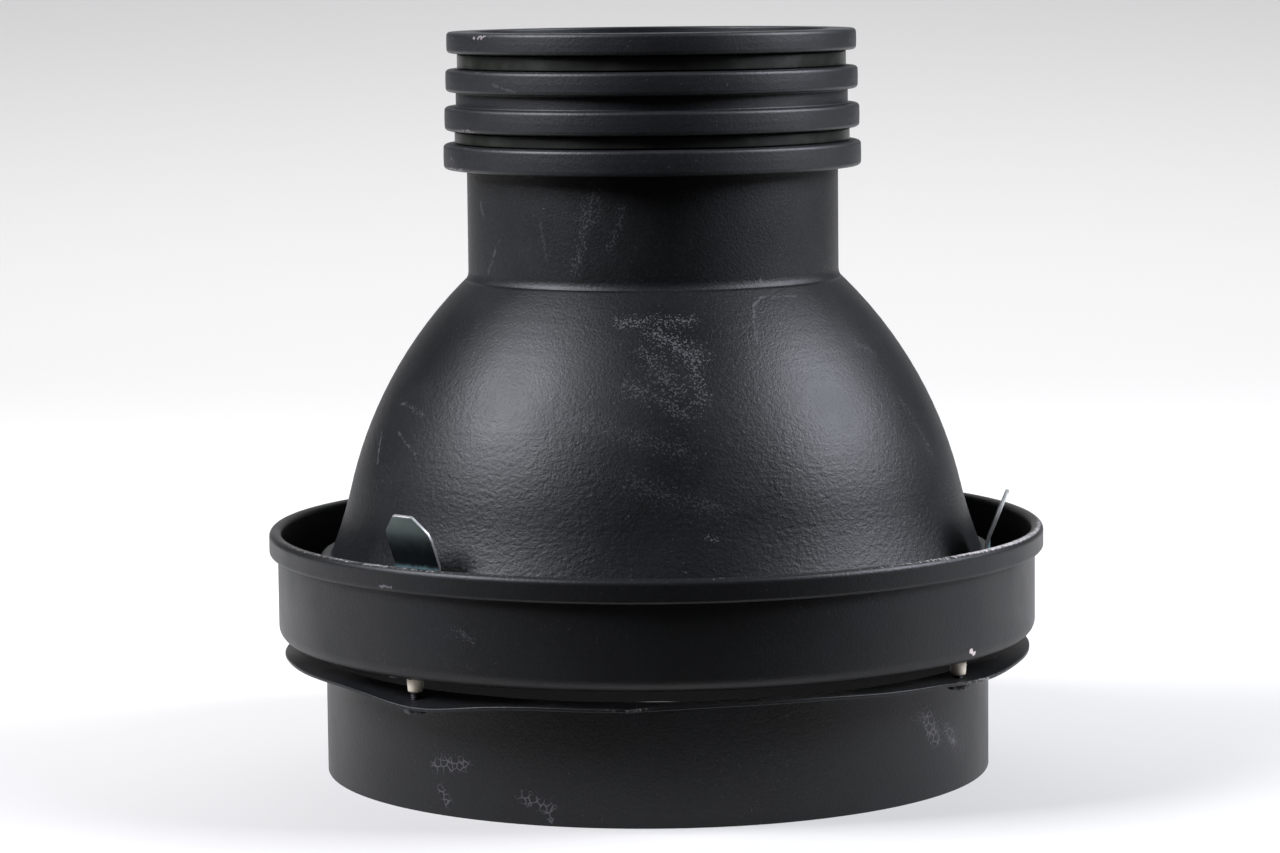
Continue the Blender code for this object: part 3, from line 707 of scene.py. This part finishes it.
def band_rubber():
    """Smooth black band of soft plastic: semi-gloss, a little olive, with a faint bloom."""
    material, tree, shader = shader_of("band rubber")
    position = millimetres(tree)
    bloom = ramp(tree, noise(tree, position, 0.12, 3.0, 0.6), 0.35, 0.75)
    tree.links.new(mixed(tree, bloom, srgb("#1d1f1a"), srgb("#2b2d27")), shader.inputs["Base Color"])
    tree.links.new(ramp(tree, bloom, 0.0, 1.0, 0.33, 0.4), shader.inputs["Roughness"])
    bumped(tree, shader, noise(tree, position, 1.2, 1.0), 0.4, 0.03 * MM)
    return material


def passivated_zinc():
    """Zinc-plated spring steel with a thin blue passivation: dull greenish faces, darker lower down
    the blade and greasy in patches, a painted highlight: a bright teal line along the bend at the nose, and
    bright bare metal on the sheared edges."""
    material, tree, shader = shader_of("passivated zinc")
    position = millimetres(tree)
    cloud = noise(tree, position, 0.5, 3.0, 0.6)
    height = sums(tree, "ADD", height_of(tree, position), product(tree, cloud, 2.0))
    face = mixed(tree, ramp(tree, height, 60.5, 68.5), srgb("#252b2d"), srgb("#525c59"))
    # painted highlight: a bright teal line along the bend at the nose, where the bent sheet catches the
    # light
    nose_highlight = product(tree, ramp(tree, height, 55.0, 56.8), ramp(tree, height, 56.8, 58.4, 1.0, 0.0))
    face = mixed(tree, nose_highlight, face, srgb("#7fa3a8"))
    scuffed = around_zero(tree, noise(tree, position, 2.2, 2.0), 0.5)
    bare = ramp(tree, sums(tree, "ADD", wear_of(tree), scuffed), 0.35, 0.8)
    grease = ramp(tree, cloud, 0.3, 0.7, 0.38, 0.48)
    tree.links.new(mixed(tree, bare, face, srgb("#a8a8a6")), shader.inputs["Base Color"])
    tree.links.new(sums(tree, "ADD", grease, product(tree, bare, 0.05)), shader.inputs["Roughness"])
    shader.inputs["Metallic"].default_value = 0.6
    bumped(tree, shader, noise(tree, position, 0.8, 3.0), 0.5, 0.03 * MM)
    return material


def blackened_hardware():
    """Small steel hardware, blackened and dusty: dark grey, with a dull metal sheen on corners."""
    material, tree, shader = shader_of("blackened hardware")
    cloud = noise(tree, millimetres(tree), 0.9, 3.0, 0.6)
    colour = mixed(tree, ramp(tree, cloud, 0.35, 0.7), srgb("#38383a"), srgb("#5f5f60"))
    tree.links.new(colour, shader.inputs["Base Color"])
    tree.links.new(ramp(tree, cloud, 0.3, 0.7, 0.42, 0.55), shader.inputs["Roughness"])
    shader.inputs["Metallic"].default_value = 1.0
    return material


def cream_ceramic():
    """Unglazed steatite bead: cream, darker in patches towards its foot."""
    material, tree, shader = shader_of("cream ceramic")
    position = millimetres(tree)
    # the colour darkens in patches towards the bead's foot
    foot = ramp(tree, height_of(tree, position), 29.0, 30.2, 1.0, 0.0)
    darker_foot = product(tree, foot, noise(tree, position, 0.8, 2.0))
    tree.links.new(mixed(tree, darker_foot, srgb("#e4d8c6"), srgb("#a3917b")), shader.inputs["Base Color"])
    shader.inputs["Roughness"].default_value = 0.42
    shader.inputs["Subsurface Weight"].default_value = 0.1
    shader.inputs["Subsurface Scale"].default_value = 0.001
    return material


# ---------------------------------------------------------------- setting

def studio():
    """A white sweep under and behind the object: floor to wall by a quarter circle. It glows, so
    that its shadow stays faint: less in front, most behind the object, and falling again up the
    wall."""
    curve = np.linspace(0.05, math.pi / 2.0, 30)
    floor = np.stack((np.linspace(PAPER_FRONT, PAPER_BEND, 24), np.zeros(24)), 1)
    bend = np.stack((PAPER_BEND + 0.8 * np.sin(curve), 0.8 - 0.8 * np.cos(curve)), 1)
    wall = np.stack((np.full(8, PAPER_BEND + 0.8), np.linspace(0.9, 1.6, 8)), 1)
    side = np.concatenate((floor, bend, wall))[:, None, :]
    across = np.linspace(-0.75, 0.75, 25)[None, :]
    points = np.stack(np.broadcast_arrays(across, side[..., 0], side[..., 1]), -1)
    rows, columns = points.shape[:2]
    index = np.arange(rows * columns).reshape(rows, columns)
    quads = np.stack((index[:-1, :-1], index[:-1, 1:], index[1:, 1:], index[1:, :-1]), -1)
    mesh = bpy.data.meshes.new("sweep")
    mesh.from_pydata(points.reshape(-1, 3).tolist(), [], quads.reshape(-1, 4).tolist())
    mesh.polygons.foreach_set("use_smooth", np.ones(len(mesh.polygons), bool))
    sweep = bpy.data.objects.new("sweep", mesh)
    bpy.context.scene.collection.objects.link(sweep)
    material, tree, shader = shader_of("white paper")
    place = node(tree, "ShaderNodeSeparateXYZ", {0: node(tree, "ShaderNodeTexCoord").outputs["Object"]})
    shader.inputs["Base Color"].default_value = srgb("#b6b4b1")
    shader.inputs["Roughness"].default_value = 0.9
    shader.inputs["Emission Color"].default_value = srgb("#ffffff")
    front = ramp(tree, place.outputs["Y"], -0.15, 0.35, FLOOR_FRONT, FLOOR_BACK)
    back = ramp(tree, place.outputs["Z"], 0.0, 0.24, 0.0, FLOOR_BACK - WALL_TOP)
    tree.links.new(sums(tree, "SUBTRACT", front, back), shader.inputs["Emission Strength"])
    sweep.data.materials.append(material)


def softbox(name, azimuth, elevation, distance, size, power, aim=(0.0, 0.0, 0.09), colour="#ffffff"):
    """A rectangular area light facing a point on the object."""
    lamp = bpy.data.lights.new(name, "AREA")
    lamp.shape = "RECTANGLE"
    lamp.size, lamp.size_y = size
    lamp.energy = power
    lamp.color = srgb(colour)[:3]
    obj = bpy.data.objects.new(name, lamp)
    bpy.context.scene.collection.objects.link(obj)
    a, e = math.radians(azimuth), math.radians(elevation)
    way = Vector((math.sin(a) * math.cos(e), -math.cos(a) * math.cos(e), math.sin(e)))
    target = Vector(aim)
    obj.location = target + distance * way
    obj.rotation_euler = (target - obj.location).to_track_quat("-Z", "Y").to_euler()


def lights():
    """Two softboxes high to the left and right, which leave the front dark between them, and a
    broad light over the paper behind."""
    softbox("left softbox", -72.0, 38.0, 1.0, (0.42, 0.45), 16.2, colour="#f3f5ff")
    softbox("right softbox", 84.0, 33.0, 1.0, (0.42, 0.5), 14.5, colour="#eff3ff")
    softbox("back light", 178.0, 62.0, 1.3, (1.4, 0.9), 3.0, aim=(0.0, 0.3, 0.0))
    world = bpy.context.scene.world or bpy.data.worlds.new("studio")
    bpy.context.scene.world = world
    world.use_nodes = True
    background = world.node_tree.nodes["Background"]
    background.inputs["Color"].default_value = srgb("#f4f6fa")
    background.inputs["Strength"].default_value = 0.02


def camera():
    """Long lens, 0.98 m in front of the axis, above the object's top and tipped down 6.45 degrees,
    with 0.6 of a degree of roll."""
    data = bpy.data.cameras.new("camera")
    data.lens = CAMERA_LENS
    data.sensor_width = 36.0
    data.clip_start, data.clip_end = 0.05, 20.0
    obj = bpy.data.objects.new("camera", data)
    bpy.context.scene.collection.objects.link(obj)
    tip = Matrix.Rotation(math.pi / 2.0 - CAMERA_TIP, 4, "X")
    roll = Matrix.Rotation(math.radians(CAMERA_ROLL), 4, "Z")
    obj.matrix_world = Matrix.Translation(CAMERA_PLACE) @ tip @ roll
    bpy.context.scene.camera = obj


# ---------------------------------------------------------------- marks

# Each mark: (azimuth, height) to (azimuth, height), width in mm, amount, and its pattern
DOME_MARKS = (
    ((-9.0, 110.5), (9.0, 110.8), 3.4, 0.42, "speck"),
    ((0.0, 108.5), (9.0, 103.0), 6.0, 0.42, "speck"),
    ((8.0, 104.0), (9.5, 94.0), 4.5, 0.42, "speck"),
    ((-2.0, 104.0), (4.0, 96.0), 6.0, 0.26, "speck"),
    ((-6.0, 97.0), (6.0, 91.0), 4.5, 0.24, "speck"),
    ((-18.0, 90.0), (6.0, 83.0), 5.5, 0.16, "speck"),
    ((-4.0, 76.0), (12.0, 70.0), 6.0, 0.14, "speck"),
    ((8.5, 64.5), (10.5, 63.6), 1.4, 0.5, "speck"),
    ((31.5, 115.2), (28.0, 113.6), 0.5, 0.3, "line"),
    ((28.0, 113.6), (26.0, 110.0), 0.5, 0.26, "line"),
    ((26.0, 110.0), (25.0, 105.5), 0.45, 0.16, "line"),
    ((44.0, 114.8), (31.5, 115.2), 0.5, 0.2, "line"),
    ((-70.5, 82.8), (-67.0, 76.5), 0.7, 0.22, "line"),
    ((-66.0, 90.2), (-55.0, 88.8), 1.2, 0.3, "speck"),
    ((-62.0, 84.0), (-53.0, 80.0), 0.5, 0.16, "line"),
    ((55.0, 104.0), (60.0, 101.0), 3.0, 0.22, "speck"),
    ((62.0, 90.0), (66.0, 78.0), 4.0, 0.16, "speck"),
    ((35.0, 62.0), (39.0, 61.0), 0.6, 0.25, "line"),
)
NECK_MARKS = (
    ((-18.0, 139.5), (-20.0, 134.0), 4.5, 0.26, "speck"),
    ((-20.0, 134.0), (-24.0, 122.0), 2.6, 0.24, "speck"),
    ((-9.0, 136.0), (-13.0, 127.0), 2.2, 0.2, "speck"),
    ((-36.0, 132.0), (-34.0, 124.0), 0.6, 0.07, "line"),
    ((-54.5, 127.6), (-61.0, 120.3), 0.7, 0.14, "line"),
    ((-66.0, 136.0), (-64.0, 133.0), 0.7, 0.14, "line"),
    ((33.8, 119.6), (33.8, 116.8), 0.5, 0.5, "line"),
)
TUBE_MARKS = (
    ((-39.5, 11.5), (-33.5, 12.5), 3.6, 0.4, "web"),
    ((-38.5, 6.0), (-37.0, 3.0), 2.6, 0.35, "web"),
    ((-22.8, 6.4), (-18.0, 4.0), 3.0, 0.35, "web"),
    ((-18.5, 3.0), (-17.8, 1.4), 1.6, 0.35, "web"),
    ((50.5, 19.5), (53.0, 13.5), 4.2, 0.5, "web"),
    ((57.0, 15.0), (59.5, 11.5), 3.2, 0.45, "web"),
    ((48.0, 20.0), (62.0, 10.0), 4.5, 0.2, "speck"),
)
TUBE_CHIPS = (
    ((-5.6, 28.9), (-2.9, 28.7), 0.5, 0.2, "speck"),
    ((-8.4, 28.6), (-6.2, 28.8), 0.4, 0.15, "speck"),
)
PAN_MARKS = (
    ((-42.3, 53.6), (-39.8, 53.7), 0.5, 0.6, "line"),
    ((-30.0, 45.0), (-27.0, 43.0), 2.0, 0.2, "speck"),
)
PAN_CHIPS = (((51.7, 35.2), (52.7, 34.5), 0.9, 1.0, "line"),)
COLLAR_MARKS = (
    ((-50.0, 164.4), (-38.0, 162.0), 0.5, 0.12, "line"),
    ((-2.6, 143.7), (57.0, 143.7), 0.6, 0.4, "speck"),
    ((40.0, 176.0), (48.0, 175.9), 1.0, 0.6, "speck"),
    ((-46.0, 175.9), (-42.0, 175.9), 0.8, 0.6, "speck"),
)
COLLAR_CHIPS = (
    ((-61.0, 174.6), (-50.0, 175.0), 0.7, 0.4, "line"),
    ((-67.0, 153.0), (-58.0, 152.9), 0.9, 0.6, "speck"),
    ((-73.0, 144.6), (-64.0, 143.8), 1.2, 0.7, "speck"),
    ((-72.0, 146.5), (-68.0, 145.0), 1.0, 0.5, "speck"),
)
COLLAR_MARK_RADIUS = 49.1
FLANGE_BEND_HEIGHT = 27.0   # the tube's marks lie below it, and the flange's above


def dome_radius(height):
    """Outer radius of the dome's arc at a height."""
    centre_r, centre_z = DOME_ARC_CENTRE
    return centre_r + math.sqrt(max(0.0, DOME_ARC_RADIUS ** 2 - (height - centre_z) ** 2))


# ---------------------------------------------------------------- the pieces

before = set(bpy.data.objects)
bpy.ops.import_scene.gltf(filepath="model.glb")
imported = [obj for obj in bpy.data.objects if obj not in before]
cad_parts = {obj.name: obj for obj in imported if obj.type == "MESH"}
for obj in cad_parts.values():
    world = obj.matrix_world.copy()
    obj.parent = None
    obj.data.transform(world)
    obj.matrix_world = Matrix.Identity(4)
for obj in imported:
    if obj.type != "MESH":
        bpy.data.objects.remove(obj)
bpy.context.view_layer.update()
STROKE = stroke_group()

dome_paint = powder_coat("dome powder coat", marks=DOME_MARKS, radius_at=dome_radius)
neck_paint = powder_coat(
    "neck powder coat", crinkle=0.4, rough=0.44, dust=0.6,
    marks=NECK_MARKS, radius_at=lambda height: NECK_OUTER)
collar_paint = powder_coat(
    "collar powder coat", base="#15161a", fine=0.7, crinkle=0.1, rough=0.47, sheen=0.5, dust=0.7,
    marks=COLLAR_MARKS, chips=COLLAR_CHIPS, radius_at=lambda height: COLLAR_MARK_RADIUS)
pan_paint = powder_coat(
    "pan powder coat", base="#181818", fine=0.8, crinkle=0.2, dust=0.3, marks=PAN_MARKS, chips=PAN_CHIPS,
    radius_at=lambda height: CURL_OUTER if height > CURL_BOTTOM else PAN_OUTER)
tube_paint = powder_coat(
    "tube powder coat", base="#101010", fine=0.8, crinkle=0.2, dust=0.35,
    marks=TUBE_MARKS, chips=TUBE_CHIPS,
    radius_at=lambda height: TUBE_OUTER if height < FLANGE_BEND_HEIGHT else FLANGE_OUTER)
rubber, zinc, hardware, ceramic = band_rubber(), passivated_zinc(), blackened_hardware(), cream_ceramic()


def show(obj, cad_node, body, material):
    """Give a piece its finish, the CAD node it stands for and the body it moves with."""
    obj.data.materials.append(material)
    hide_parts(cad_node)
    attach(obj, body)


show(make_tube(), "mounting_tube", "pan_and_tube", tube_paint)
show(make_pan(), "clip_pan", "pan_and_tube", pan_paint)
show(make_dome(), "dome_shell", "front_head", dome_paint)
show(make_neck(), "neck_tube", "front_head", neck_paint)
show(make_collar(), "front_collar", "front_head", collar_paint)
show(make_band("band_front_skin", 0), "collar_band_front", "front_head", rubber)
show(make_band("band_rear_skin", 2), "collar_band_rear", "front_head", rubber)
for number, (side_name, azimuth, turn, shift, side) in enumerate(CLIPS, start=1):
    nose, outward, across = clip_axes(azimuth, turn, shift)
    blade = make_blade(f"clip_blade_{side_name}", azimuth, turn, shift)
    foot = make_foot(f"clip_tab_{side_name}", azimuth, turn, shift, side)
    middle = nose + outward * (FOOT_INNER + FOOT_OUTER) / 2.0 + across * side * FOOT_ASIDE
    rivet = make_rivet(f"rivet_{side_name}", middle)
    show(blade, f"spring_clip_{number}", f"clip_{side_name}", zinc)
    show(foot, f"clip_foot_{number}", "pan_and_tube", zinc)
    show(rivet, f"clip_rivet_{number}", "pan_and_tube", hardware)
for number, azimuth in enumerate(STACK_AZIMUTHS, start=1):
    bead = make_spacer(f"bead_{number}", around(azimuth, STACK_RADIUS))
    screw = make_screw(f"screw_{number}", azimuth)
    nut = make_nut(f"nut_{number}", azimuth)
    show(bead, f"spacer_{number}", "pan_and_tube", ceramic)
    show(screw, f"spacer_screw_{number}", "pan_and_tube", hardware)
    show(nut, f"spacer_nut_{number}", "pan_and_tube", hardware)

studio()
lights()
camera()
bpy.context.scene.view_settings.view_transform = "Standard"
